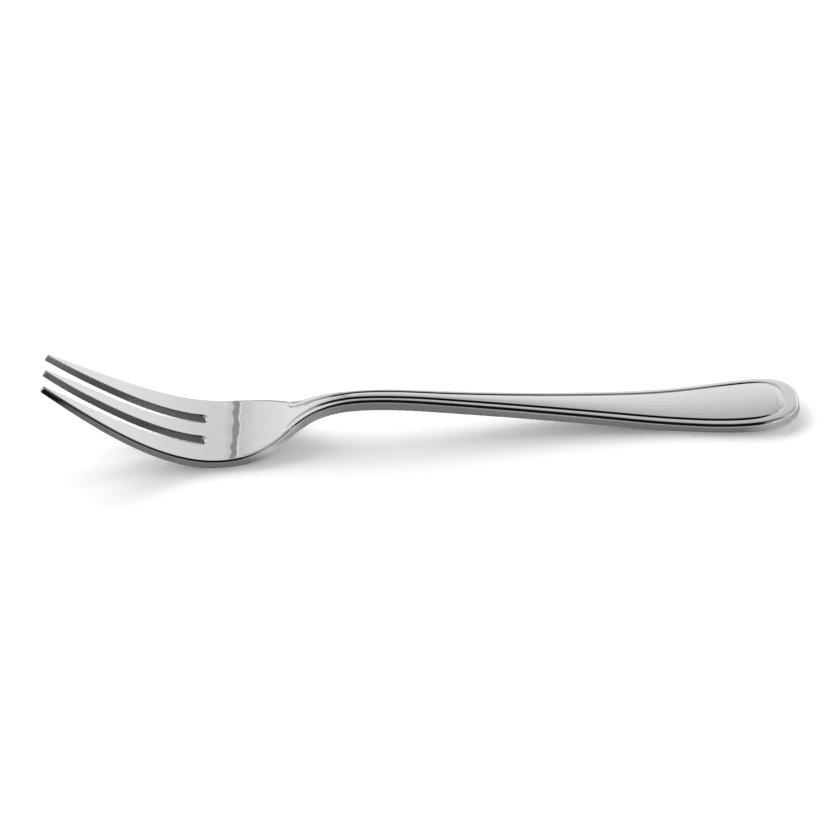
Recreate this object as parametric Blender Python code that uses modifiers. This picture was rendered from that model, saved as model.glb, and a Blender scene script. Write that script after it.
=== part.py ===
"""Three-tined serving fork, stamped and pressed from one blank of stainless steel.

Metres, +Z up. The tines point along -X and the handle along +X. The fork rests on its bowl and on its handle
at Z = 0, with the origin under the middle of its length. Stations run along the underside from the tine tips.
"""
import math

import bmesh
import bpy
import numpy as np

# Overall sizes
LENGTH = 0.2100
HEAD_WIDTH = 0.0342
NECK_WIDTH = 0.0070
HANDLE_WIDTH = 0.0257
TIP_SPREAD = 0.0188

# Runs along the fork, each from the feature named before it
TINE_LENGTH = 0.0440
ROOT_TO_BOWL = 0.0049
BOWL_TO_WAIST = 0.0188
WAIST_TO_THROAT = 0.0095
BOWL_TO_RISE = 0.0237
RISE_TO_CREST = 0.0154
CREST_TO_SHANK = 0.0240
SHANK_TO_REST = 0.0222
REST_TO_END = 0.0259
FLARE_TO_WIDEST = 0.0190
WIDEST_TO_END = 0.0140

# Heights of the underside above the table
TIP_HEIGHT = 0.0227
RISE_HEIGHT = 0.0055
CREST_HEIGHT = 0.0081
SHANK_TOP_HEIGHT = 0.0061
SHANK_FOOT_HEIGHT = 0.0010
END_LIFT = 0.0011

# Slopes of the side profile, as rise over run
TIP_SLOPE = -0.67
RISE_SLOPE = 0.44
SHANK_TOP_SLOPE = -0.115
SHANK_FOOT_SLOPE = -0.092
END_SLOPE = 0.10

# Half-widths and slopes of the plan outline where it bends
TINE_FLARE = 0.34
WAIST_HALF = 0.0087
WAIST_SLOPE = -1.02
THROAT_HALF = 0.00425
THROAT_SLOPE = -0.17
FLARE_HALF = 0.01055
FLARE_SLOPE = 0.16
END_FULLNESS = 2.40

# Steel thickness along the fork
TIP_GAUGE = 0.0021
BOWL_GAUGE = 0.0024
THROAT_GAUGE = 0.00285
THROAT_GAUGE_SLOPE = 0.03
NECK_GAUGE = 0.00315
HANDLE_GAUGE = 0.0027
END_GAUGE = 0.0029

# Rounded edges
HEAD_EDGE = 0.00045
HANDLE_EDGE = 0.0009
UNDER_EDGE = 0.0003
EDGE_STEPS = 3
UNDER_STEPS = 2

# The groove that follows the edge of the handle, and the panel inside it
BORDER = 0.0025
NOSE_BORDER = 0.0026
END_BORDER = 0.0044
NOSE_LENGTH = 0.0045
GROOVE_WIDTH = 0.0010
GROOVE_DEPTH = 0.00045
PANEL_RADIUS = 0.100
PANEL_STEPS = 3

# Slots between the tines
MIDDLE_TIP_HALF = 0.0005
MIDDLE_TIP_FLARE = 0.22
MIDDLE_HALF = 0.00215
MIDDLE_FLARE = 0.07
MIDDLE_ROOT_HALF = 0.0038
MIDDLE_ROOT_FLARE = 0.05
SLOT_OUTER = 0.0081
OUTER_TIP_INNER = 0.0085
OUTER_TIP_SLOPE = -0.07
TIP_TAPER = 0.0100
ROOT_DEPTH = 0.0016
ROOT_STEPS = 10

# Polished flats where the bowl and the handle touch the table
REST_FLAT = 0.00006

# Spacing of the stations along the fork, and steps round its end
STATION_STEP = 0.0026
SHANK_STEP = 0.0050
END_STEPS = 14

# How far a cutter reaches past what it cuts, and how close two points are welded
CUT_MARGIN = 0.005
WELD = 1e-6

# Stations that the profile, the outline and the relief share
ROOT = TINE_LENGTH
BOWL = ROOT + ROOT_TO_BOWL
WAIST = BOWL + BOWL_TO_WAIST
THROAT = WAIST + WAIST_TO_THROAT
RISE = BOWL + BOWL_TO_RISE
CREST = RISE + RISE_TO_CREST
SHANK_TOP = CREST + CREST_TO_SHANK
REST = LENGTH - REST_TO_END
SHANK_FOOT = REST - SHANK_TO_REST
WIDEST = LENGTH - WIDEST_TO_END
FLARE = WIDEST - FLARE_TO_WIDEST

# Each run is a list of (station, value, slope)
UNDERSIDE = [
    (0.0, TIP_HEIGHT, TIP_SLOPE),
    (BOWL, -REST_FLAT, 0.0),
    (RISE, RISE_HEIGHT, RISE_SLOPE),
    (CREST, CREST_HEIGHT, 0.0),
    (SHANK_TOP, SHANK_TOP_HEIGHT, SHANK_TOP_SLOPE),
    (SHANK_FOOT, SHANK_FOOT_HEIGHT, SHANK_FOOT_SLOPE),
    (REST, -REST_FLAT, 0.0),
    (LENGTH, END_LIFT, END_SLOPE),
]
HALF_WIDTH = [
    (0.0, TIP_SPREAD / 2, TINE_FLARE),
    (ROOT, HEAD_WIDTH / 2, 0.0),
    (WAIST, WAIST_HALF, WAIST_SLOPE),
    (THROAT, THROAT_HALF, THROAT_SLOPE),
    (CREST, NECK_WIDTH / 2, 0.0),
    (FLARE, FLARE_HALF, FLARE_SLOPE),
    (WIDEST, HANDLE_WIDTH / 2, 0.0),
]
GAUGE = [
    (0.0, TIP_GAUGE, 0.0),
    (BOWL, BOWL_GAUGE, 0.0),
    (THROAT, THROAT_GAUGE, THROAT_GAUGE_SLOPE),
    (CREST, NECK_GAUGE, 0.0),
    (REST, HANDLE_GAUGE, 0.0),
    (LENGTH, END_GAUGE, 0.0),
]
MIDDLE_TINE = [
    (0.0, MIDDLE_TIP_HALF, MIDDLE_TIP_FLARE),
    (TIP_TAPER, MIDDLE_HALF, MIDDLE_FLARE),
    (ROOT, MIDDLE_ROOT_HALF, MIDDLE_ROOT_FLARE),
]
OUTER_TINE = [
    (0.0, OUTER_TIP_INNER, OUTER_TIP_SLOPE),
    (TIP_TAPER, SLOT_OUTER, 0.0),
    (ROOT, SLOT_OUTER, 0.0),
]


def along(run, station):
    """Value and slope of a run at the given stations: a cubic from each knot to the next."""
    knot, value, slope = np.array(run).T
    i = np.clip(np.searchsorted(knot, station, side="right") - 1, 0, len(knot) - 2)
    span = knot[i + 1] - knot[i]
    u = (station - knot[i]) / span
    height = (
        (1 + 2 * u) * (1 - u) ** 2 * value[i]
        + u * (1 - u) ** 2 * span * slope[i]
        + u * u * (3 - 2 * u) * value[i + 1]
        + u * u * (u - 1) * span * slope[i + 1]
    )
    rate = (
        6 * u * (u - 1) * (value[i] - value[i + 1]) / span
        + (1 - u) * (1 - 3 * u) * slope[i]
        + u * (3 * u - 2) * slope[i + 1]
    )
    return height, rate


def fade(station, start, end):
    """Smooth step from 0 before start to 1 after end."""
    u = np.clip((station - start) / (end - start), 0.0, 1.0)
    return u * u * (3 - 2 * u)


def stations_between(start, end, step):
    """Even stations from start up to, but not including, end."""
    count = max(2, math.ceil((end - start) / step))
    return np.linspace(start, end, count, endpoint=False)


def outline():
    """Half outline of the blank: station, half-width and inward direction, from the tips to the handle's end."""
    sides = np.concatenate([
        stations_between(0.0, SHANK_TOP, STATION_STEP),
        stations_between(SHANK_TOP, SHANK_FOOT, SHANK_STEP),
        stations_between(SHANK_FOOT, WIDEST, STATION_STEP),
    ])
    half, rate = along(HALF_WIDTH, sides)
    square = fade(sides, 0.0, ROOT)
    side_in = np.stack([rate * square, -np.ones_like(rate)], axis=1)

    # The end is a quarter of a superellipse, square to the sides and to the middle line
    angle = np.linspace(0.0, math.pi / 2, END_STEPS + 1)
    power = 2 / END_FULLNESS
    cosine = np.clip(np.cos(angle), 0.0, 1.0)
    end_x = WIDEST + WIDEST_TO_END * np.sin(angle) ** power
    end_y = HANDLE_WIDTH / 2 * cosine ** power
    end_y[-1] = 0.0
    end_in = -np.stack([
        np.sin(angle) ** (2 - power) / WIDEST_TO_END,
        cosine ** (2 - power) / (HANDLE_WIDTH / 2),
    ], axis=1)
    end_in[0] = (0.0, -1.0)
    end_in[-1] = (-1.0, 0.0)

    edge = np.concatenate([np.stack([sides, half], axis=1), np.stack([end_x, end_y], axis=1)])
    inward = np.concatenate([side_in, end_in])
    return edge, inward / np.linalg.norm(inward, axis=1, keepdims=True)


def seat(plan, depth):
    """Points of the steel: plan holds (station, across), depth is measured down from the top face."""
    foot, slope = along(UNDERSIDE, plan[:, 0])
    gauge, _ = along(GAUGE, plan[:, 0])
    tilt = np.arctan(slope)
    rise = gauge - depth
    return np.stack([
        plan[:, 0] - rise * np.sin(tilt) - LENGTH / 2,
        plan[:, 1],
        foot + rise * np.cos(tilt),
    ], axis=1)


def half_section_columns():
    """Lines that run the length of the half blank, from the middle of its underside round to the middle of its top."""
    edge, inward = outline()
    station = edge[:, 0]
    gauge, _ = along(GAUGE, station)
    handle = fade(station, WAIST, CREST)
    top_edge = HEAD_EDGE + (HANDLE_EDGE - HEAD_EDGE) * handle
    quarter = np.linspace(0.0, math.pi / 2, EDGE_STEPS + 1)
    columns = []

    def inset(distance):
        return edge + inward * np.asarray(distance).reshape(-1, 1)

    # Underside, from the middle line to its rounded edge
    under = inset(np.full_like(station, UNDER_EDGE))
    for share in np.linspace(0.0, 1.0, UNDER_STEPS, endpoint=False):
        columns.append(seat(under * (1.0, share), gauge))
    for angle in quarter:
        distance = UNDER_EDGE * (1 - math.sin(angle))
        columns.append(seat(inset(np.full_like(station, distance)), gauge - UNDER_EDGE * (1 - math.cos(angle))))

    # Side wall up to the rounded top edge
    for angle in quarter:
        columns.append(seat(inset(top_edge * (1 - math.cos(angle))), top_edge * (1 - math.sin(angle))))

    # Border, groove and crowned panel; the groove starts at a nose on the shoulder
    nose = fade(station, WAIST, WAIST + NOSE_LENGTH)
    tail = 1 - fade(station, WAIST + NOSE_LENGTH, CREST)
    start = top_edge + GROOVE_WIDTH
    border = start + (BORDER + (NOSE_BORDER - BORDER) * tail - start) * nose
    border = border + (END_BORDER - BORDER) * np.where(station > WIDEST, inward[:, 0] ** 2, 0.0)
    depth = GROOVE_DEPTH * nose
    columns.append(seat(inset(border - GROOVE_WIDTH / 2), 0.0 * depth))
    columns.append(seat(inset(border), depth))
    panel = inset(border + GROOVE_WIDTH / 2)
    for share in np.linspace(1.0, 0.0, PANEL_STEPS + 1):
        crown = (1 - share * share) * panel[:, 1] ** 2 / (2 * PANEL_RADIUS) * handle
        columns.append(seat(panel * (1.0, share), -crown))
    return np.stack(columns)


def half_blank():
    """Mesh of the half blank on the +Y side, open along the middle plane and closed at the tine tips."""
    grid = half_section_columns()
    columns, rows, _ = grid.shape
    index = np.arange(columns * rows).reshape(columns, rows)
    faces = [
        (int(index[c, r]), int(index[c, r + 1]), int(index[c + 1, r + 1]), int(index[c + 1, r]))
        for c in range(columns - 1)
        for r in range(rows - 1)
    ]
    faces.append(tuple(int(v) for v in index[:, 0]))
    mesh = bpy.data.meshes.new("fork")
    mesh.from_pydata(grid.reshape(-1, 3).tolist(), [], faces)
    work = bmesh.new()
    work.from_mesh(mesh)
    bmesh.ops.remove_doubles(work, verts=work.verts, dist=WELD)
    bmesh.ops.dissolve_degenerate(work, edges=work.edges, dist=WELD)
    bmesh.ops.recalc_face_normals(work, faces=work.faces)
    bmesh.ops.triangulate(work, faces=work.faces)
    work.to_mesh(mesh)
    work.free()
    return mesh


def slot_outline():
    """Plan of the slot on the +Y side: in along the middle tine, round the root, out along the outer tine."""
    straight = np.concatenate([
        stations_between(0.0, TIP_TAPER, STATION_STEP),
        stations_between(TIP_TAPER, ROOT - ROOT_DEPTH, 2 * SHANK_STEP),
    ])
    inner, _ = along(MIDDLE_TINE, straight)
    outer, _ = along(OUTER_TINE, straight)
    root_inner, _ = along(MIDDLE_TINE, np.array([ROOT - ROOT_DEPTH]))
    middle = (root_inner[0] + SLOT_OUTER) / 2
    reach = (SLOT_OUTER - root_inner[0]) / 2
    turn = np.linspace(-math.pi / 2, math.pi / 2, ROOT_STEPS + 1)
    root = np.stack([ROOT - ROOT_DEPTH + ROOT_DEPTH * np.cos(turn), middle + reach * np.sin(turn)], axis=1)
    mouth_inner = [(-CUT_MARGIN, MIDDLE_TIP_HALF)]
    mouth_outer = [(-CUT_MARGIN, OUTER_TIP_INNER)]
    return np.concatenate([
        mouth_inner,
        np.stack([straight, inner], axis=1),
        root,
        np.stack([straight, outer], axis=1)[::-1],
        mouth_outer,
    ])


def prism(name, plan, low, high, collection):
    """Upright closed prism over a plan outline, for use as a cutter."""
    work = bmesh.new()
    corners = [work.verts.new((x - LENGTH / 2, y, low)) for x, y in plan]
    base = work.faces.new(corners)
    walls = bmesh.ops.extrude_face_region(work, geom=[base])
    lifted = [item for item in walls["geom"] if isinstance(item, bmesh.types.BMVert)]
    bmesh.ops.translate(work, verts=lifted, vec=(0.0, 0.0, high - low))
    bmesh.ops.recalc_face_normals(work, faces=work.faces)
    mesh = bpy.data.meshes.new(name)
    work.to_mesh(mesh)
    work.free()
    cutter = bpy.data.objects.new(name, mesh)
    cutter.hide_render = True
    cutter.display_type = "WIRE"
    collection.objects.link(cutter)
    return cutter


def polished_steel():
    """Bright stainless steel."""
    material = bpy.data.materials.new("polished_stainless_steel")
    material.use_nodes = True
    shader = material.node_tree.nodes["Principled BSDF"]
    shader.inputs["Base Color"].default_value = (0.60, 0.60, 0.59, 1.0)
    shader.inputs["Metallic"].default_value = 1.0
    shader.inputs["Roughness"].default_value = 0.12
    return material


for old in list(bpy.data.objects):
    bpy.data.objects.remove(old, do_unlink=True)

parts = bpy.data.collections.new("serving_fork")
cutters = bpy.data.collections.new("cutters")
bpy.context.scene.collection.children.link(parts)
bpy.context.scene.collection.children.link(cutters)

# The cutters: one slot on each side of the middle tine, and the table that polishes the rest flats
ceiling = TIP_HEIGHT + TIP_GAUGE + CUT_MARGIN
slot = slot_outline()
prism("slot_far", slot, -CUT_MARGIN, ceiling, cutters)
prism("slot_near", slot[::-1] * (1.0, -1.0), -CUT_MARGIN, ceiling, cutters)
reach = HEAD_WIDTH + HANDLE_WIDTH
table = [(-CUT_MARGIN, -reach), (LENGTH + CUT_MARGIN, -reach), (LENGTH + CUT_MARGIN, reach), (-CUT_MARGIN, reach)]
prism("table", table, -CUT_MARGIN, 0.0, cutters)

# The fork: half a blank, mirrored, then cut
fork = bpy.data.objects.new("fork", half_blank())
fork.data.materials.append(polished_steel())
parts.objects.link(fork)
mirror = fork.modifiers.new("both_sides", "MIRROR")
mirror.use_axis = (False, True, False)
mirror.merge_threshold = WELD
for cutter in cutters.objects:
    cut = fork.modifiers.new(cutter.name, "BOOLEAN")
    cut.operation = "DIFFERENCE"
    cut.solver = "MANIFOLD"
    cut.object = cutter
fork.data.shade_smooth()
fork.data.set_sharp_from_angle(angle=math.radians(30))
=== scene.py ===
import math

import bmesh
import bpy
import numpy as np
from mathutils import Matrix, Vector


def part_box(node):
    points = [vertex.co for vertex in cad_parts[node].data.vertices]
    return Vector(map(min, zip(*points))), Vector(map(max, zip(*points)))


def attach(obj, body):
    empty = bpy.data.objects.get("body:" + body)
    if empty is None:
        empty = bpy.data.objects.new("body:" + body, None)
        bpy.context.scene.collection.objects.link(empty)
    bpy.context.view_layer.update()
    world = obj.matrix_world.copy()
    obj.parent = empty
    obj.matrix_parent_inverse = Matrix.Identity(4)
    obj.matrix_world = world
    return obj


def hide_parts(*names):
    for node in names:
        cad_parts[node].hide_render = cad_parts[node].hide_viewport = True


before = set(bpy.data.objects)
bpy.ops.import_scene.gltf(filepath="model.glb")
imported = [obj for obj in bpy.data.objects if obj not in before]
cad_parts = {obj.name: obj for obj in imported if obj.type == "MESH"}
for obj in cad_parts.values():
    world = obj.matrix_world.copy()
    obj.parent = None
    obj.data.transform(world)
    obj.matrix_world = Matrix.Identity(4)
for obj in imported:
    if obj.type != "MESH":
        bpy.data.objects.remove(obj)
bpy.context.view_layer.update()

# The blank in side view
# A serving fork is one strip of stainless steel, pressed to a long double curve: tines swept up, a bowl that
# rests on the table, a high neck, and a handle that comes down to the table again just short of its end.
low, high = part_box("fork")
LENGTH = high.x - low.x

# Stations along the fork, counted from the tine tips
TIP_BEND = 0.0120
ROOT = 0.0440
BOWL = ROOT + 0.0049
WAIST = BOWL + 0.0188
SHOULDER = WAIST - 0.0050
THROAT = WAIST + 0.0095
RISE = BOWL + 0.0237
CREST = RISE + 0.0154
SHANK_TOP = CREST + 0.0240
REST = LENGTH - 0.0259
SHANK_FOOT = REST - 0.0222

# Height of the underside, and thickness of the steel, as knots of (station, value, slope)
TOUCH = -0.00006
UNDERSIDE = [
    (0.0, 0.02288, -0.71),
    (TIP_BEND, 0.01468, -0.6505),
    (BOWL, TOUCH, 0.0),
    (RISE, 0.0055, 0.44),
    (CREST, 0.0081, 0.0),
    (SHANK_TOP, 0.0061, -0.115),
    (SHANK_FOOT, 0.0010, -0.092),
    (REST, TOUCH, 0.0),
    (LENGTH, 0.0011, 0.10),
]
GAUGE = [
    (0.0, 0.00195, 0.02),
    (TIP_BEND, 0.00215, 0.01),
    (BOWL, 0.0024, 0.0),
    (SHOULDER, 0.0023, 0.01),
    (THROAT, 0.00285, 0.03),
    (CREST, 0.00322, 0.0),
    (REST, 0.0027, 0.0),
    (LENGTH, 0.0029, 0.0),
]


def along(run, station):
    """Value and slope of a run of (station, value, slope) knots: a cubic from each knot to the next."""
    knot, value, slope = np.array(run).T
    i = np.clip(np.searchsorted(knot, station, side="right") - 1, 0, len(knot) - 2)
    span = knot[i + 1] - knot[i]
    u = (station - knot[i]) / span
    height = (
        (1 + 2 * u) * (1 - u) ** 2 * value[i]
        + u * (1 - u) ** 2 * span * slope[i]
        + u * u * (3 - 2 * u) * value[i + 1]
        + u * u * (u - 1) * span * slope[i + 1]
    )
    rate = (
        6 * u * (u - 1) * (value[i] - value[i + 1]) / span
        + (1 - u) * (1 - 3 * u) * slope[i]
        + u * (3 * u - 2) * slope[i + 1]
    )
    return height, rate


def fade(value, start, end):
    """Smooth step: 0 up to start, 1 from end on, and 3u2 - 2u3 between them."""
    u = np.clip((value - start) / (end - start), 0.0, 1.0)
    return u * u * (3 - 2 * u)


def band(value, rise, fall):
    """Smooth band: it fades in over the pair rise, and out again over the pair fall."""
    return fade(value, *rise) * (1 - fade(value, *fall))


def seat(plan, depth):
    """Points in the steel. plan is (station, across), and depth goes down from the top face, square to the
    underside. The underside is worn flat where it meets the table."""
    foot, slope = along(UNDERSIDE, plan[..., 0])
    gauge, _ = along(GAUGE, plan[..., 0])
    tilt = np.arctan(slope)
    rise = gauge - depth
    x = low.x + plan[..., 0] - rise * np.sin(tilt)
    z = low.z + np.maximum(foot + rise * np.cos(tilt), 0.0)
    return np.stack([x, plan[..., 1], z], axis=-1)


# The blank in plan
# The outline is stamped: outer tines that flare to a wide head, a shoulder, a slim neck, and a handle that
# widens to a full round end. Two slots are punched through the head and leave a tapered tine in the middle.
HEAD_HALF = (high.y - low.y) / 2
HANDLE_HALF = 0.01285
NECK_HALF = 0.0035
WIDEST = LENGTH - 0.0140
FLARE = WIDEST - 0.0190
END_FULLNESS = 2.40
SLOT_OUTER = 0.0081
SLOT_LIP = 0.0010
SLOT_ROUND = 0.0009
SLOT_FULLNESS = 2.6
SLOT_END = ROOT - SLOT_LIP - SLOT_ROUND
TIP_TAPER = 0.0100
TIP_ROUND = 0.0006
TIP_FULLNESS = 4.5
HALF_WIDTH = [
    (0.0, 0.0094, 0.34),
    (ROOT, HEAD_HALF, 0.0),
    (WAIST, 0.0087, -1.02),
    (THROAT, 0.00425, -0.17),
    (CREST, NECK_HALF, 0.0),
    (FLARE, 0.01055, 0.16),
    (WIDEST, HANDLE_HALF, 0.0),
]
MIDDLE_TINE = [
    (0.0, 0.0005, 0.22),
    (TIP_TAPER, 0.00215, 0.07),
    (ROOT, 0.0038, 0.05),
]
OUTER_TINE = [
    (0.0, 0.0085, -0.07),
    (TIP_TAPER, SLOT_OUTER, 0.0),
    (ROOT, SLOT_OUTER, 0.0),
]


def round_end(turn, fullness):
    """Quarter of a superellipse of unit reach: how far out it is, and how wide, as the turn goes from 0 to
    90 degrees. A fullness of 2 is a circle, and more is squarer."""
    power = 2 / fullness
    cosine = np.cos(turn)
    out = np.sin(turn) ** power
    wide = np.where(cosine < 1e-9, 0.0, np.clip(cosine, 0.0, 1.0) ** power)
    return out, wide


def body_outline(sides, end_steps):
    """Outline of one side, from the slots' end to the handle's: the given stations, then the round end."""
    half, _ = along(HALF_WIDTH, sides)
    out, wide = round_end(np.linspace(0.0, math.pi / 2, end_steps + 1)[1:], END_FULLNESS)
    return np.concatenate([
        np.stack([sides, half], axis=1),
        np.stack([WIDEST + (LENGTH - WIDEST) * out, HANDLE_HALF * wide], axis=1),
    ])


def square_in(line):
    """Unit direction into the steel at each point of a half outline with its ends on the middle line: square
    to the mean heading of the two steps that meet there."""
    mirror = np.array([1.0, -1.0])
    closed = np.concatenate([line[1:2] * mirror, line, line[-2:-1] * mirror])
    step = np.diff(closed, axis=0)
    step /= np.linalg.norm(step, axis=1, keepdims=True)
    heading = step[1:] + step[:-1]
    heading /= np.linalg.norm(heading, axis=1, keepdims=True)
    return np.stack([-heading[:, 1], heading[:, 0]], axis=1)


# The body's rows, closest together where the thread's nose is
NOSE_ROWS_FROM = WAIST - 0.0030
NOSE_ROWS_TO = WAIST + 0.0065
HEAD_STEP = 0.0006
NOSE_STEP = 0.00016
NECK_STEP = 0.0004
HANDLE_STEPS = 136
END_STEPS = 44
sides = np.concatenate([
    np.arange(SLOT_END, NOSE_ROWS_FROM, HEAD_STEP),
    np.arange(NOSE_ROWS_FROM, NOSE_ROWS_TO, NOSE_STEP),
    np.arange(NOSE_ROWS_TO, CREST, NECK_STEP),
    np.linspace(CREST, WIDEST, HANDLE_STEPS),
])
body = body_outline(sides, END_STEPS)

# The tines, which share their rows from the rounded tips to the slots' end
TIP_STEPS = 12
TINE_STEPS = 65
out, wide = round_end(np.linspace(math.pi / 2, 0.0, TIP_STEPS + 1), TIP_FULLNESS)
tine = np.concatenate([TIP_ROUND * (1 - out), np.linspace(TIP_ROUND, SLOT_END, TINE_STEPS + 1)[1:]])
narrowing = np.concatenate([wide, np.ones(TINE_STEPS)])
outer_side, _ = along(HALF_WIDTH, tine)
inner_side, _ = along(OUTER_TINE, tine)
tine_middle = (outer_side + inner_side) / 2
tine_half = (outer_side - inner_side) / 2 * narrowing
outer_edge = np.stack([tine, tine_middle + tine_half], axis=1)
inner_edge = np.stack([tine, tine_middle - tine_half], axis=1)
middle_half, _ = along(MIDDLE_TINE, tine)
middle_edge = np.stack([tine, middle_half * narrowing], axis=1)

# The slot's round end, from the outer tine over to the middle one
SLOT_STEPS = 14
slot_turn = np.linspace(math.pi / 2, -math.pi / 2, SLOT_STEPS + 1)[1:-1]
slot_middle = (SLOT_OUTER + middle_edge[-1, 1]) / 2
slot_half = (SLOT_OUTER - middle_edge[-1, 1]) / 2
out, wide = round_end(math.pi / 2 - np.abs(slot_turn), SLOT_FULLNESS)
slot_across = slot_middle + slot_half * wide * np.sign(slot_turn)
slot_end = np.stack([SLOT_END + SLOT_ROUND * out, slot_across], axis=1)
slot_lip = np.cos(slot_turn) ** 2

# The edges
# Outside, the edge was ground and then rounded by polishing, most of all along the handle. In the slots it
# is as the punch left it: a barely broken corner and a grained wall, with a buffed lip at the slot's end.
PUNCHED_EDGE = 0.00016
SLOT_MOUTH = 0.00035
SLOT_MOUTH_RUN = 0.004
LIP_BUFFED = 0.8
UNDER_EDGE = 0.0003
TIP_EDGE_FADE = 0.012
TOP_EDGE = [
    (0.0, PUNCHED_EDGE, 0.0),
    (TIP_EDGE_FADE, 0.00045, 0.0),
    (BOWL, 0.00045, 0.0),
    (SHOULDER, 0.00028, 0.0),
    (WAIST + 0.0050, 0.00032, 0.0),
    (CREST, 0.0009, 0.0),
    (LENGTH, 0.0009, 0.0),
]
HEAD_EDGE_STEEP = 1.3
HEAD_EDGE_FULLNESS = 1.25
HANDLE_EDGE_FULLNESS = 1.5
LIP_STEEP = 0.6


def edge_rows(plan, top, under, punched):
    """Rows of (station, across, top radius, under radius, punched) along one stretch of the outline."""
    return np.column_stack(np.broadcast_arrays(plan[:, 0], plan[:, 1], top, under, punched))


body_radius, _ = along(TOP_EDGE, body[:, 0])
tip_fade = fade(tine, 0.0, TIP_EDGE_FADE)
tip_radius, _ = along(TOP_EDGE, tine)
tip_under = PUNCHED_EDGE + (UNDER_EDGE - PUNCHED_EDGE) * tip_fade
slot_radius = PUNCHED_EDGE + (SLOT_MOUTH - PUNCHED_EDGE) * fade(tine, SLOT_END - SLOT_MOUTH_RUN, SLOT_END)
lip_radius = SLOT_MOUTH + (SLOT_LIP - SLOT_MOUTH) * slot_lip
half_edge = np.concatenate([
    edge_rows(body, body_radius, UNDER_EDGE, 0.0)[::-1],
    edge_rows(outer_edge, tip_radius, tip_under, 0.0)[::-1][1:],
    edge_rows(inner_edge, slot_radius, PUNCHED_EDGE, tip_fade)[1:],
    edge_rows(slot_end, lip_radius, PUNCHED_EDGE, 1 - LIP_BUFFED * slot_lip),
    edge_rows(middle_edge, slot_radius, PUNCHED_EDGE, tip_fade)[::-1],
])
half_plan = half_edge[:, :2]
half_in = square_in(half_plan)
top_radius, under_radius, punched = half_edge[:, 2:].T

# Places in the half outline where one stretch ends and the next begins
rows_body = len(body)
rows_tine = len(tine)
tip_at = rows_body + rows_tine - 2
slot_at = tip_at + rows_tine - 1
middle_at = slot_at + SLOT_STEPS

# The head's edge is a steep bevel, the handle's is rounder, and the lip at a slot's end slopes gently
on_handle = fade(half_plan[:, 0], WAIST, CREST)
top_fullness = HEAD_EDGE_FULLNESS + (HANDLE_EDGE_FULLNESS - HEAD_EDGE_FULLNESS) * on_handle
steep = HEAD_EDGE_STEEP + (1 - HEAD_EDGE_STEEP) * on_handle
steep[slot_at + 1:middle_at] += (LIP_STEEP - HEAD_EDGE_STEEP) * slot_lip
top_drop = top_radius * steep


def inset_parts(distance):
    """The outline moved into the steel by a distance at each point, split into body, outer and inner sides
    of a tine, slot end and middle tine."""
    line = half_plan + half_in * distance[:, None]
    return (
        line[:rows_body][::-1],
        line[rows_body - 1:tip_at + 1][::-1],
        line[tip_at:slot_at + 1],
        line[slot_at + 1:middle_at],
        line[middle_at:][::-1],
    )


# Pressing and polishing leave the bowl very slightly wavy, too little to feel, but enough to bend the edge
# of a reflection. Each wave is (wavelength across, wavelength along, height, start).
WAVES = [
    (0.0085, 0.0080, 0.0000050, 0.4),
    (0.0058, -0.0074, 0.0000035, 1.9),
    (0.0230, 0.0063, 0.0000040, 4.0),
    (0.0047, 0.0310, 0.0000015, 2.7),
]
WAVY = ((SLOT_END - 0.004, BOWL), (WAIST - 0.004, WAIST + 0.006))
WAVES_ELSEWHERE = 0.06
ROLL_DROP = 0.00020
ROLL_WIDTH = 0.0013
ROLLED = ((ROOT + 0.006, ROOT + 0.012), (WAIST, WAIST + 0.006))


def ripple(plan):
    """How far the top face lies below its smooth curve: slanted sine waves, strongest in the bowl and nearly
    gone elsewhere. Along the shoulder it also rolls off to its edge, as a parabola."""
    station, across = plan[..., 0], plan[..., 1]
    wave = sum(
        height * np.sin(2 * math.pi * (across / wide + station / long) + start)
        for wide, long, height, start in WAVES
    )
    half, slope = along(HALF_WIDTH, np.minimum(station, WIDEST))
    inside = (half - across) / np.hypot(1.0, slope)
    roll = ROLL_DROP * np.clip(1 - inside / ROLL_WIDTH, 0.0, 1.0) ** 2 * band(station, *ROLLED)
    return wave * (WAVES_ELSEWHERE + (1 - WAVES_ELSEWHERE) * band(station, *WAVY)) + roll


# Rows of points up the rim's profile
UNDER_ROWS = 5
WALL_ROWS = 3
TOP_ROWS = 15


def edge_surface():
    """Half of the rim: a profile of under radius, wall and top radius, carried along the outline."""
    under_turn = np.linspace(0.0, math.pi / 2, UNDER_ROWS)
    wall_share = np.arange(1, WALL_ROWS + 1) / (WALL_ROWS + 1)
    drop, reach = round_end(np.linspace(0.0, math.pi / 2, TOP_ROWS)[:, None], top_fullness)
    inset = np.concatenate([
        np.outer(1 - np.sin(under_turn), under_radius),
        np.zeros((WALL_ROWS, len(half_plan))),
        (1 - reach) * top_radius,
    ])
    plan = half_plan + half_in * inset[..., None]
    gauge, _ = along(GAUGE, plan[..., 0])
    wall_low = gauge[UNDER_ROWS] - under_radius
    depth = np.concatenate([
        gauge[:UNDER_ROWS] - np.outer(1 - np.cos(under_turn), under_radius),
        wall_low + np.outer(wall_share, top_drop - wall_low),
        (1 - drop) * top_drop,
    ])
    on_top = np.repeat([0.0, 1.0], [UNDER_ROWS + WALL_ROWS, TOP_ROWS])
    return seat(plan, depth + ripple(plan) * on_top[:, None])


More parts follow.
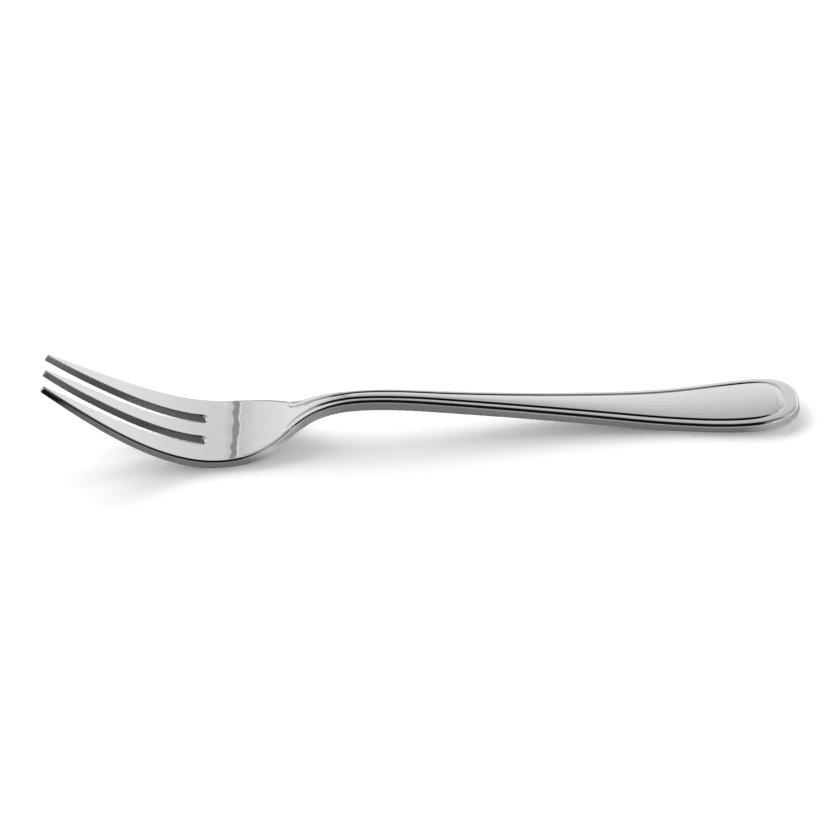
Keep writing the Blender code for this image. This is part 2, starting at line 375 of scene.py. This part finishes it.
# The thread
# A single line is pressed into the top of the handle beside its edge. It starts as a rounded nose on each
# shoulder, runs down both sides and closes round the end, and leaves a slightly crowned panel inside.
NOSE = WAIST + 0.0009
NOSE_LENGTH = 0.0032
THREAD_OUTER = 0.00075
THREAD_INNER = 0.00075
END_BORDER = 0.0044
BORDER = [
    (NOSE, 0.0026, 0.0),
    (NOSE + 0.0045, 0.0026, -0.02),
    (CREST, 0.0019, -0.02),
    (SHANK_TOP, 0.0021, 0.0),
    (FLARE, 0.0026, 0.006),
    (WIDEST, 0.0028, 0.010),
    (LENGTH, 0.0030, 0.0),
]
THREAD_DEPTH = [
    (NOSE, 0.00013, 0.0),
    (NOSE + 0.0140, 0.00060, 0.0),
    (WIDEST - 0.0020, 0.00060, 0.0),
    (WIDEST + 0.0030, 0.00040, -0.03),
    (LENGTH - END_BORDER, 0.00022, 0.0),
]


def border_width(line, inward):
    """Distance from the outline to the thread. It grows from nothing at the nose, along a quarter of an
    ellipse, and is largest at the handle's very end."""
    width, _ = along(BORDER, np.maximum(line[:, 0], NOSE))
    rounding = np.clip((line[:, 0] - NOSE) / NOSE_LENGTH, 0.0, 1.0)
    at_end = np.where(line[:, 0] > WIDEST, inward[:, 0] ** 2, 0.0)
    return width * np.sqrt(1 - (1 - rounding) ** 2) + (END_BORDER - BORDER[-1][1]) * at_end


# The thread's line as close points, with a point on the middle line before the nose to close it
THREAD_NOSE_TO = WAIST + 0.008
THREAD_NOSE_STEP = 0.00004
THREAD_STEP = 0.00020
THREAD_END_STEPS = 240
thread_sides = np.concatenate([
    np.arange(NOSE, THREAD_NOSE_TO, THREAD_NOSE_STEP),
    np.arange(THREAD_NOSE_TO, WIDEST, THREAD_STEP),
])
thread_rows = body_outline(thread_sides, THREAD_END_STEPS)
thread_close = [[NOSE - 0.001, 0.0]]
thread_in = square_in(np.concatenate([thread_rows[::-1], thread_close]))[:-1][::-1]
thread = thread_rows + thread_in * border_width(thread_rows, thread_in)[:, None]
thread_run = np.gradient(thread, axis=0)
thread_across = np.stack([thread_run[:, 1], -thread_run[:, 0]], axis=1)


def thread_depth(plan):
    """How deep the thread is at each plan point: a valley about the thread's line. Its border side is a
    parabola, steepest at the line, and its panel side a smooth step."""
    flat = plan.reshape(-1, 2).astype(np.float32)
    line = thread.astype(np.float32)
    near = np.hypot(flat[:, :1] - line[:, 0], flat[:, 1:] - line[:, 1]).argmin(axis=1)
    gap = plan.reshape(-1, 2) - thread[near]
    inside = (gap * thread_across[near]).sum(axis=1) > 0
    side = np.where(inside, THREAD_INNER, THREAD_OUTER)
    deepest, _ = along(THREAD_DEPTH, np.clip(thread[near, 0], NOSE, LENGTH - END_BORDER))
    off = np.clip(np.hypot(gap[:, 0], gap[:, 1]) / side, 0.0, 1.0)
    depth = deepest * np.where(inside, 1 - fade(off, 0.0, 1.0), (1 - off) ** 2)
    return depth.reshape(plan.shape[:-1])


# The faces
# Top and underside are the strip's own faces, polished bright. On the handle the border rises a little from
# its edge to the thread, and the panel inside is crowned, most of all along the neck.
BORDER_RISE = 0.00015
PANEL_TILT = 0.088
NECK_PANEL_TILT = 0.14
LEAST_BORDER = 0.0020
SWING = (SLOT_END, SLOT_END + 0.012)
ONTO_HANDLE = (SLOT_END + 0.004, SLOT_END + 0.016)
CLEAR_OF_EDGE = 4
OUTER_COLUMNS = 16
MIDDLE_COLUMNS = 10
BORDER_COLUMNS = 10
THREAD_COLUMNS = 16
PANEL_COLUMNS = OUTER_COLUMNS + SLOT_STEPS + MIDDLE_COLUMNS - BORDER_COLUMNS - THREAD_COLUMNS


def face_grids(radius, top):
    """Outer tine, middle tine and body of one half face, each as plan points by rows and columns with their
    depths. A tine's rows run straight from side to side. The body's first row follows the tines and the
    slot's end, and its columns then swing over to follow the edge and the thread."""
    side, outer, inner, end, middle = inset_parts(radius)
    share = (1 - np.cos(np.linspace(0.0, math.pi, OUTER_COLUMNS + 1))) / 2
    outer_tine = outer[:, None] + (inner - outer)[:, None] * share[:, None]
    share = np.cos(np.linspace(0.0, math.pi / 2, MIDDLE_COLUMNS + 1))
    share[-1] = 0.0
    middle_tine = np.stack(np.broadcast_arrays(middle[:, :1], middle[:, 1:] * share), axis=-1)

    # The head, whose columns start where the tines' columns end
    front = np.concatenate([outer_tine[-1], end, middle_tine[-1]])
    swing = 1 - fade(side[:, :1], *SWING)
    own = front[:, 1] / front[0, 1]
    even = np.linspace(1.0, 0.0, len(own))
    head = np.stack([
        side[:, :1] + (front[:, 0] - front[0, 0]) * swing,
        side[:, 1:] * (even + (own - even) * swing),
    ], axis=-1)

    # The handle, whose columns follow the edge up to the thread and then close in on the middle line
    edge = half_plan[:rows_body][::-1]
    inward = half_in[:rows_body][::-1]
    start = radius[:rows_body][::-1, None]
    centre = np.maximum(border_width(edge, inward), LEAST_BORDER)[:, None]
    near = centre - THREAD_OUTER
    far = centre + THREAD_INNER
    distance = np.concatenate([
        start + (near - start) * np.linspace(0.0, 1.0, BORDER_COLUMNS, endpoint=False),
        near + (far - near) * np.linspace(0.0, 1.0, THREAD_COLUMNS, endpoint=False),
        far,
    ], axis=1)
    border = edge[:, None] + inward[:, None] * distance[..., None]
    share = np.cos(np.linspace(0.0, math.pi / 2, PANEL_COLUMNS + 1))[1:]
    share[-1] = 0.0
    lip = border[:, -1]
    panel = np.stack(np.broadcast_arrays(lip[:, :1], lip[:, 1:] * share), axis=-1)
    handle = np.concatenate([border, panel], axis=1)
    whole = head + (handle - head) * fade(side[:, 0], *ONTO_HANDLE)[:, None, None]
    plans = (outer_tine, middle_tine, whole)
    if not top:
        return [(plan, along(GAUGE, plan[..., 0])[0]) for plan in plans]

    # The top, with the crown of border and panel, and the thread, which keeps clear of the edge
    depths = [ripple(plan) for plan in plans]
    on_handle = fade(edge[:, :1], WAIST, CREST)
    tilt = PANEL_TILT + (NECK_PANEL_TILT - PANEL_TILT) * (1 - fade(edge[:, :1], SHANK_TOP, FLARE))
    border_rise = BORDER_RISE * np.clip((distance - start) / (far - start), 0.0, 1.0)
    panel_rise = BORDER_RISE + (1 - share ** 2) * lip[:, 1:] * tilt / 2
    crown = np.concatenate([border_rise, panel_rise], axis=1) * on_handle
    clear = fade(np.arange(whole.shape[1]), 0, CLEAR_OF_EDGE)
    depths[-1] = depths[-1] + thread_depth(whole) * clear - crown
    return list(zip(plans, depths))


def weave(rows, columns, first, closed=False):
    """Corners of the squares between the points of a grid that is numbered from first, row by row."""
    index = first + np.arange(rows * columns).reshape(rows, columns)
    if closed:
        index = np.concatenate([index, index[:, :1]], axis=1)
    return np.stack([index[:-1, :-1], index[1:, :-1], index[1:, 1:], index[:-1, 1:]], axis=-1).reshape(-1, 4)


# One closed skin: the rim, then the top and the underside, each with its mirror image
MIRROR = np.array([1.0, -1.0, 1.0])
rim = edge_surface()
whole_rim = np.concatenate([rim, rim[:, -2:0:-1] * MIRROR], axis=1)
surfaces = [(whole_rim, True)]
for radius, top in ((top_radius, True), (under_radius, False)):
    outer_grid, middle_grid, body_grid = (seat(plan, depth) for plan, depth in face_grids(radius, top))
    surfaces.append((outer_grid, False))
    surfaces.append((outer_grid * MIRROR, False))
    for grid in (middle_grid, body_grid):
        surfaces.append((np.concatenate([grid, grid[:, -2::-1] * MIRROR], axis=1), False))

points = []
faces = []
count = 0
for grid, closed in surfaces:
    points.append(grid.reshape(-1, 3))
    faces.append(weave(grid.shape[0], grid.shape[1], count, closed))
    count += grid.shape[0] * grid.shape[1]
points = np.concatenate(points)
faces = np.concatenate(faces)

# How ground and how torn the rim is at each point, by the rows of its profile from the underside up
GROUND_ROWS = [(2, 0.0), (4, 1.0), (8, 1.0), (9, 0.9), (12, 0.0)]
PUNCHED_ROWS = [(2, 0.0), (4, 1.0), (20, 1.0), (22, 0.0)]
BUFFED_TIP = (0.004, 0.020)
ground = np.zeros(len(points))
torn = np.zeros(len(points))
profile_row = np.arange(len(rim))[:, None]
ground_share = np.interp(profile_row, *np.transpose(GROUND_ROWS))
punched_share = np.interp(profile_row, *np.transpose(PUNCHED_ROWS))
in_slot = np.arange(len(half_plan)) > tip_at
at_lip = np.zeros(len(half_plan))
at_lip[slot_at + 1:middle_at] = slot_lip
unbuffed = np.where(in_slot, 1 - at_lip, fade(half_plan[:, 0], *BUFFED_TIP))
half_ground = np.where(in_slot, punched_share, ground_share) * unbuffed
half_torn = half_ground * punched * (1 - at_lip)
for half, values in ((half_ground, ground), (half_torn, torn)):
    values[:whole_rim.size // 3] = np.concatenate([half, half[:, -2:0:-1]], axis=1).ravel()

# The grids meet point on point, and are welded there
WELD = 1e-6
SLIVER = 1e-7
mesh = bpy.data.meshes.new("fork_polished")
mesh.from_pydata(points, [], faces.tolist())
for name, values in (("ground", ground), ("punched", torn)):
    mesh.attributes.new(name, "FLOAT", "POINT").data.foreach_set("value", values.astype(np.float32))
work = bmesh.new()
work.from_mesh(mesh)
bmesh.ops.remove_doubles(work, verts=work.verts, dist=WELD)
bmesh.ops.dissolve_degenerate(work, edges=work.edges, dist=SLIVER)
bmesh.ops.recalc_face_normals(work, faces=work.faces)
work.to_mesh(mesh)
work.free()
mesh.shade_smooth()
fork = bpy.data.objects.new("fork_polished", mesh)
bpy.context.scene.collection.objects.link(fork)


def linear(code):
    """An sRGB hex colour as linear RGBA."""
    part = np.array([int(code[i:i + 2], 16) for i in (1, 3, 5)]) / 255
    value = np.where(part <= 0.04045, part / 12.92, ((part + 0.055) / 1.055) ** 2.4)
    return (*value.tolist(), 1.0)


def node(tree, kind, settings=(), links=()):
    """Adds a node; settings are (name or input, value) pairs, links are (input, output socket) pairs."""
    made = tree.nodes.new(kind)
    for name, value in settings:
        if name in made.inputs:
            made.inputs[name].default_value = value
        else:
            setattr(made, name, value)
    for name, source in links:
        tree.links.new(source, made.inputs[name])
    return made


# The finish
# Stainless steel, buffed along its length, ground at the walls and torn by the punch in the slots. The faces
# are a sharp mirror with faint long streaks, the walls a satin grey, and the slots a darker, spotted grey.
# Real buffing lines and grains are under a tenth of a millimetre: both are drawn coarser, so that they show.
BUFF_RUN = 0.030
BUFF_PITCH = 0.0006
SCRATCH_DEPTH = 0.000001
GRAIN = 0.0007
NOISE_RANGE = [("From Min", 0.3), ("From Max", 0.7)]
BUFFED_ROUGH = [("To Min", 0.020), ("To Max", 0.050)]
SATIN_ROUGH = [("To Min", 0.25), ("To Max", 0.32)]
BUFFED_TINTS = [("A", linear("#E2E2E1")), ("B", linear("#D9D9D8"))]
TORN_TINTS = [("A", linear("#8E8E8C")), ("B", linear("#BEBEBC"))]
COLOUR = [("data_type", "RGBA")]
steel = bpy.data.materials.new("polished_stainless_steel")
steel.use_nodes = True
tree = steel.node_tree
shader = tree.nodes["Principled BSDF"]
shader.inputs["Metallic"].default_value = 1.0
place = node(tree, "ShaderNodeTexCoord").outputs["Object"]
is_ground = node(tree, "ShaderNodeAttribute", [("attribute_name", "ground")]).outputs["Fac"]
is_punched = node(tree, "ShaderNodeAttribute", [("attribute_name", "punched")]).outputs["Fac"]
buff_scale = (1 / BUFF_RUN, 1 / BUFF_PITCH, 1 / BUFF_RUN)
lines = node(tree, "ShaderNodeMapping", [("Scale", buff_scale)], [("Vector", place)])
streak = node(
    tree, "ShaderNodeTexNoise", [("Scale", 1.0), ("Detail", 3.0)], [("Vector", lines.outputs["Vector"])]
).outputs["Fac"]
grain = node(
    tree, "ShaderNodeTexNoise", [("Scale", 1 / GRAIN), ("Detail", 2.0)], [("Vector", place)]
).outputs["Fac"]
buffed_rough = node(tree, "ShaderNodeMapRange", NOISE_RANGE + BUFFED_ROUGH, [("Value", streak)])
satin_rough = node(tree, "ShaderNodeMapRange", NOISE_RANGE + SATIN_ROUGH, [("Value", grain)])
rough = node(
    tree, "ShaderNodeMix", [],
    [("Factor", is_ground), ("A", buffed_rough.outputs["Result"]), ("B", satin_rough.outputs["Result"])],
)
buffed_tint = node(tree, "ShaderNodeMix", COLOUR + BUFFED_TINTS, [("Factor", streak)])
torn_tint = node(tree, "ShaderNodeMix", COLOUR + TORN_TINTS, [("Factor", grain)])
tint = node(
    tree, "ShaderNodeMix", COLOUR,
    [("Factor", is_punched), ("A", buffed_tint.outputs["Result"]), ("B", torn_tint.outputs["Result"])],
)
scratch = node(
    tree, "ShaderNodeBump", [("Strength", 1.0), ("Distance", SCRATCH_DEPTH)], [("Height", streak)]
)
tree.links.new(tint.outputs["Result"], shader.inputs["Base Color"])
tree.links.new(rough.outputs["Result"], shader.inputs["Roughness"])
tree.links.new(scratch.outputs["Normal"], shader.inputs["Normal"])
mesh.materials.append(steel)
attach(fork, "root")
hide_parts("fork")


def seen_share(tree):
    """Socket that is 1 for a ray from the camera, off metal or through glass, and 0 for any other ray."""
    ray = node(tree, "ShaderNodeLightPath")
    share = ray.outputs["Is Camera Ray"]
    larger = [("operation", "MAXIMUM")]
    for kind in ("Is Glossy Ray", "Is Transmission Ray"):
        share = node(tree, "ShaderNodeMath", larger, [(0, share), (1, ray.outputs[kind])]).outputs["Value"]
    return share


# The table
# A wide sheet of plain white paper lies under the fork and takes its shadow. A little light of its own,
# which only the camera and the steel see, keeps the shadow as pale as a bright room would.
TABLE_HALF = 3.0
PAPER_LIGHT = 0.15
table_corners = [
    (-TABLE_HALF, -TABLE_HALF, 0.0), (TABLE_HALF, -TABLE_HALF, 0.0),
    (TABLE_HALF, TABLE_HALF, 0.0), (-TABLE_HALF, TABLE_HALF, 0.0),
]
table_mesh = bpy.data.meshes.new("table")
table_mesh.from_pydata(table_corners, [], [(0, 1, 2, 3)])
table = bpy.data.objects.new("table", table_mesh)
bpy.context.scene.collection.objects.link(table)
paper = bpy.data.materials.new("white_paper")
paper.use_nodes = True
tree = paper.node_tree
sheet = tree.nodes["Principled BSDF"]
sheet.inputs["Base Color"].default_value = linear("#FFFFFF")
sheet.inputs["Roughness"].default_value = 1.0
sheet.inputs["Specular IOR Level"].default_value = 0.0
sheet.inputs["Emission Color"].default_value = linear("#FFFFFF")
lift = node(
    tree, "ShaderNodeMapRange", [("To Min", 0.0), ("To Max", PAPER_LIGHT)], [("Value", seen_share(tree))]
)
tree.links.new(lift.outputs["Result"], sheet.inputs["Emission Strength"])
table_mesh.materials.append(paper)

# The light tent
# Polished steel shows only what stands round it. A half-round tent of painted cloth stands over the table,
# and only reflections see it: white low at the back, greyer overhead, with a dark flag above the camera.
TENT_RADIUS = 1.2
TENT_HALF = 3.0
TENT_FINE = 1.0
TONES = [
    (0, 1.0), (20, 1.0), (30, 0.84), (40, 0.60), (60, 0.52), (80, 0.46), (104, 0.32), (150, 0.30),
    (164, 0.30), (171, 0.55), (180, 0.60),
]

# The cloth is brighter overhead to the right, and low in front at both sides
RIGHT_GAIN = 0.7
RIGHT_ACROSS = (0.35, 0.8)
RIGHT_TURN = (70, 95)
FRONT_TONE = 0.85
FRONT_ACROSS = (0.6, 0.9)
FRONT_TURN = (135, 150)

# The flag is black, with a right side that wanders as it comes down
FLAG_DARK = 0.98
FLAG_TOP = (82, 98)
FLAG_FOOT = (150, 162)
FLAG_LEFT = (-0.55, -0.40)
FLAG_RIGHT = [
    (86, 0.45), (92, 0.60), (97, 1.10), (106, 1.00), (111, 0.40), (118, 0.27), (124, 0.33), (130, 0.40),
    (136, 0.36), (150, 0.28),
]
FLAG_FADE = 0.06

# A grey strip hangs at the back, with shade on both sides of it and a white fringe, over a low bench
BACK = (40, 55)
STRIP = -0.193
STRIP_HALF = 0.0206
STRIP_SIDE = (0.85 * STRIP_HALF, 1.1 * STRIP_HALF)
STRIP_DARK = 0.5
STRIP_FOOT = (23, 25)
STRIP_TOP = (32.5, 34)
LEFT_SHADE = 0.18
LEFT_SHADE_REACH = 0.15
RIGHT_SHADE = 0.16
RIGHT_SHADE_REACH = 0.075
FRINGE = 0.012
FRINGE_END = STRIP - STRIP_HALF
FRINGE_START = FRINGE_END - FRINGE
FRINGE_LEFT = (FRINGE_START, FRINGE_START + 0.3 * FRINGE)
FRINGE_RIGHT = (FRINGE_END - 0.2 * FRINGE, FRINGE_END)
BENCH_DARK = 0.6
BENCH_FOOT = (4, 6)
BENCH_TOP = (16, 18)
BENCH_LEFT = (-0.56, -0.50)
BENCH_RIGHT = (-0.12, -0.08)


def tent_tone(turn, across):
    """How bright the cloth is. turn is the angle over the table from the back, across the place along the
    fork. The tone of that turn is raised at the sides, cut by the flag and by the shade beside the strip,
    set to white in the fringe, and cut by the strip or the bench, whichever is darker."""
    tone = np.interp(turn, *np.transpose(TONES))
    tone = tone * (1 + RIGHT_GAIN * fade(across, *RIGHT_ACROSS) * fade(turn, *RIGHT_TURN))
    tone = tone + (FRONT_TONE - tone) * fade(turn, *FRONT_TURN) * fade(np.abs(across), *FRONT_ACROSS)
    right = np.interp(turn, *np.transpose(FLAG_RIGHT))
    flag = band(turn, FLAG_TOP, FLAG_FOOT) * band(across, FLAG_LEFT, (right - FLAG_FADE, right + FLAG_FADE))
    tone = tone * (1 - FLAG_DARK * flag)

    at_back = 1 - fade(turn, *BACK)
    past = np.abs(across - STRIP)
    left_shade = LEFT_SHADE * (1 - fade(past, 0.0, LEFT_SHADE_REACH))
    right_shade = RIGHT_SHADE * (1 - fade(past, STRIP_HALF, RIGHT_SHADE_REACH))
    tone = tone * (1 - np.where(across < STRIP, left_shade, right_shade) * at_back)
    tone = tone + (1.0 - tone) * band(across, FRINGE_LEFT, FRINGE_RIGHT) * at_back
    strip = (1 - fade(past, *STRIP_SIDE)) * band(turn, STRIP_FOOT, STRIP_TOP)
    bench = band(turn, BENCH_FOOT, BENCH_TOP) * band(across, BENCH_LEFT, BENCH_RIGHT)
    return tone * (1 - np.maximum(STRIP_DARK * strip, BENCH_DARK * bench))


painted_cloth = bpy.data.materials.new("painted_cloth")
painted_cloth.use_nodes = True
tree = painted_cloth.node_tree
tree.nodes.remove(tree.nodes["Principled BSDF"])
tone = node(tree, "ShaderNodeAttribute", [("attribute_name", "tone")])
emission = node(tree, "ShaderNodeEmission", [], [("Strength", tone.outputs["Fac"])])
tree.links.new(emission.outputs["Emission"], tree.nodes["Material Output"].inputs["Surface"])


def place_card(name, points, faces, tones):
    """Adds a card of painted cloth that only reflections see, as bright at each point as its tone says."""
    card_mesh = bpy.data.meshes.new(name)
    card_mesh.from_pydata(points.reshape(-1, 3), [], faces.tolist())
    shown = card_mesh.attributes.new("tone", "FLOAT", "POINT")
    shown.data.foreach_set("value", tones.ravel().astype(np.float32))
    card_mesh.materials.append(painted_cloth)
    card = bpy.data.objects.new(name, card_mesh)
    card.visible_camera = False
    card.visible_diffuse = False
    card.visible_shadow = False
    bpy.context.scene.collection.objects.link(card)


TURN_ROWS = 361
SIDE_COLUMNS = 20
FINE_COLUMNS = 401
along_tent = np.concatenate([
    np.linspace(-TENT_HALF, -TENT_FINE, SIDE_COLUMNS, endpoint=False),
    np.linspace(-TENT_FINE, TENT_FINE, FINE_COLUMNS),
    np.linspace(TENT_HALF, TENT_FINE, SIDE_COLUMNS, endpoint=False)[::-1],
])
turn, across = np.meshgrid(np.linspace(0.0, 180.0, TURN_ROWS), along_tent, indexing="ij")
angle = np.radians(turn)
arch = np.stack([across, TENT_RADIUS * np.cos(angle), TENT_RADIUS * np.sin(angle)], axis=-1)
place_card("tent", arch, weave(*turn.shape, 0), tent_tone(turn, across))

# The aprons
# A painted cloth lies on the table along each side of the fork, tucked a little under its edge, for the
# walls to reflect. It is grey, with black out past the tips, light at the shoulder and white by the handle.
# Where it lies under the fork's edge it carries a painted shadow, darker still, which fades out before the
# handle's widest point.
APRON_TUCK = 0.0040
APRON_REACH = 0.6
APRON_HEIGHT = 0.0003
APRON_BEHIND = 0.02
APRON_TONES = [
    (-0.30, 0.20), (-0.22, 0.01), (-0.139, 0.01), (-0.1365, 0.06), (-0.130, 0.13), (-0.115, 0.20),
    (-0.047, 0.20), (-0.040, 0.60), (-0.034, 0.75), (-0.030, 0.60), (-0.022, 0.20), (0.088, 0.20),
    (0.098, 0.50), (0.105, 0.45),
]
OPEN_TONE = 1.2
OPEN_ACROSS = (0.005, 0.035)
OPEN_AHEAD = (0.022, 0.028)
# Painted shadow: the cloth under the fork's edge is darkened, fading out just past the edge and before the
# handle's widest point
APRON_SHADOW_DARK = 0.8
APRON_SHADOW_EDGE = (-0.0006, 0.0006)
APRON_SHADOW_END = (WIDEST - 0.004, WIDEST)
APRON_COLUMNS = 601
APRON_ROWS = 81
apron_x = np.linspace(-APRON_REACH, APRON_REACH, APRON_COLUMNS)[:, None]
apron_station = apron_x - low.x
past_end = apron_station > LENGTH
apron_half, _ = along(HALF_WIDTH, np.clip(apron_station, 0.0, WIDEST))
apron_half = np.where(past_end, HANDLE_HALF, apron_half)

# Rows crowd towards the fork; past the handle's end the cloth starts behind the middle line
apron_start = np.where(past_end, -APRON_BEHIND, apron_half - APRON_TUCK)
ahead = apron_start + (APRON_REACH - apron_start) * np.linspace(0.0, 1.0, APRON_ROWS) ** 3
across = np.broadcast_to(apron_x, ahead.shape)
apron_tone = np.interp(across, *np.transpose(APRON_TONES))
apron_tone = apron_tone + (OPEN_TONE - apron_tone) * fade(across, *OPEN_ACROSS) * fade(ahead, *OPEN_AHEAD)
# The painted shadow under the fork's edge
apron_shadow = (1 - fade(ahead - apron_half, *APRON_SHADOW_EDGE)) * (1 - fade(across - low.x, *APRON_SHADOW_END))
apron_tone = apron_tone * (1 - APRON_SHADOW_DARK * apron_shadow)
front_apron = np.stack([across, -ahead, np.full_like(ahead, APRON_HEIGHT)], axis=-1)
apron_faces = weave(*ahead.shape, 0)
place_card(
    "apron",
    np.stack([front_apron, front_apron * MIRROR]),
    np.concatenate([apron_faces, apron_faces + ahead.size]),
    np.tile(apron_tone.ravel(), 2),
)

# The patch of painted shade
# A small painted cloth lies on the table under the tines, where the walls of the slots look. It is painted
# shade, standing in for the table's shade under the head. Its greys run along the fork, so that each slot's
# wall is darker towards its end.
PATCH_HEIGHT = 0.0002
PATCH_ACROSS = np.array([-0.017, 0.018])
PATCH_SHADE_TONES = [
    (-0.14, 0.40), (-0.102, 0.34), (-0.090, 0.28), (-0.079, 0.33), (-0.066, 0.24), (-0.062, 0.21),
]
# Painted shade, darker towards the slots' end
patch_x, patch_shade = np.transpose(PATCH_SHADE_TONES)
patch = np.stack(np.broadcast_arrays(patch_x[:, None], PATCH_ACROSS, PATCH_HEIGHT), axis=-1)
place_card("patch", patch, weave(*patch.shape[:2], 0), np.repeat(patch_shade, len(PATCH_ACROSS)))

# The lamps
# Three broad, low lamps at the back and sides, and a dim white sky that fills their shadows. Each lamp is
# (name, degrees to the right of the back, degrees above the table, share of the table's light).
LAMPS = [
    ("back_lamp", -8.0, 16.0, 0.30),
    ("left_lamp", -50.0, 20.0, 0.29),
    ("right_lamp", 62.0, 22.0, 0.17),
]
LAMP_SPREAD = math.radians(46.0)
SKY_SHARE = 0.24
for name, side, height, share in LAMPS:
    lamp = bpy.data.objects.new(name, bpy.data.lights.new(name, "SUN"))
    lamp.data.angle = LAMP_SPREAD
    lamp.data.energy = share * math.pi / math.sin(math.radians(height))
    lamp.rotation_euler = (-math.radians(90.0 - height), 0.0, -math.radians(side))
    lamp.visible_glossy = False
    bpy.context.scene.collection.objects.link(lamp)

world = bpy.data.worlds.new("studio")
bpy.context.scene.world = world
world.use_nodes = True
tree = world.node_tree
strength = node(
    tree, "ShaderNodeMapRange", [("To Min", SKY_SHARE), ("To Max", 1.0)], [("Value", seen_share(tree))]
)
sky = tree.nodes["Background"]
sky.inputs["Color"].default_value = linear("#FFFFFF")
tree.links.new(strength.outputs["Result"], sky.inputs["Strength"])

# The camera
# A long lens stands about a metre away in front of the fork's side, 30 degrees above the table. It is rolled
# by 3 degrees, so that the handle climbs a little to the right.
ELEVATION = math.radians(30.0)
HEADING = math.radians(-0.219)
ROLL = math.radians(-3.112)
DISTANCE = 0.9875
TARGET = np.array([-0.00121, 0.0, 0.00227])
LENS = 151.28
NEAREST = 0.05
flat_right = np.array([math.cos(HEADING), -math.sin(HEADING), 0.0])
forward = np.array([
    math.sin(HEADING) * math.cos(ELEVATION),
    math.cos(HEADING) * math.cos(ELEVATION),
    -math.sin(ELEVATION),
])
flat_up = np.cross(flat_right, forward)
stance = np.eye(4)
stance[:3, 0] = flat_right * math.cos(ROLL) + flat_up * math.sin(ROLL)
stance[:3, 1] = flat_up * math.cos(ROLL) - flat_right * math.sin(ROLL)
stance[:3, 2] = -forward
stance[:3, 3] = TARGET - DISTANCE * forward
camera = bpy.data.objects.new("camera", bpy.data.cameras.new("camera"))
camera.data.lens = LENS
camera.data.clip_start = NEAREST
camera.matrix_world = Matrix(stance)
bpy.context.scene.collection.objects.link(camera)
bpy.context.scene.camera = camera
bpy.context.scene.view_settings.view_transform = "Standard"
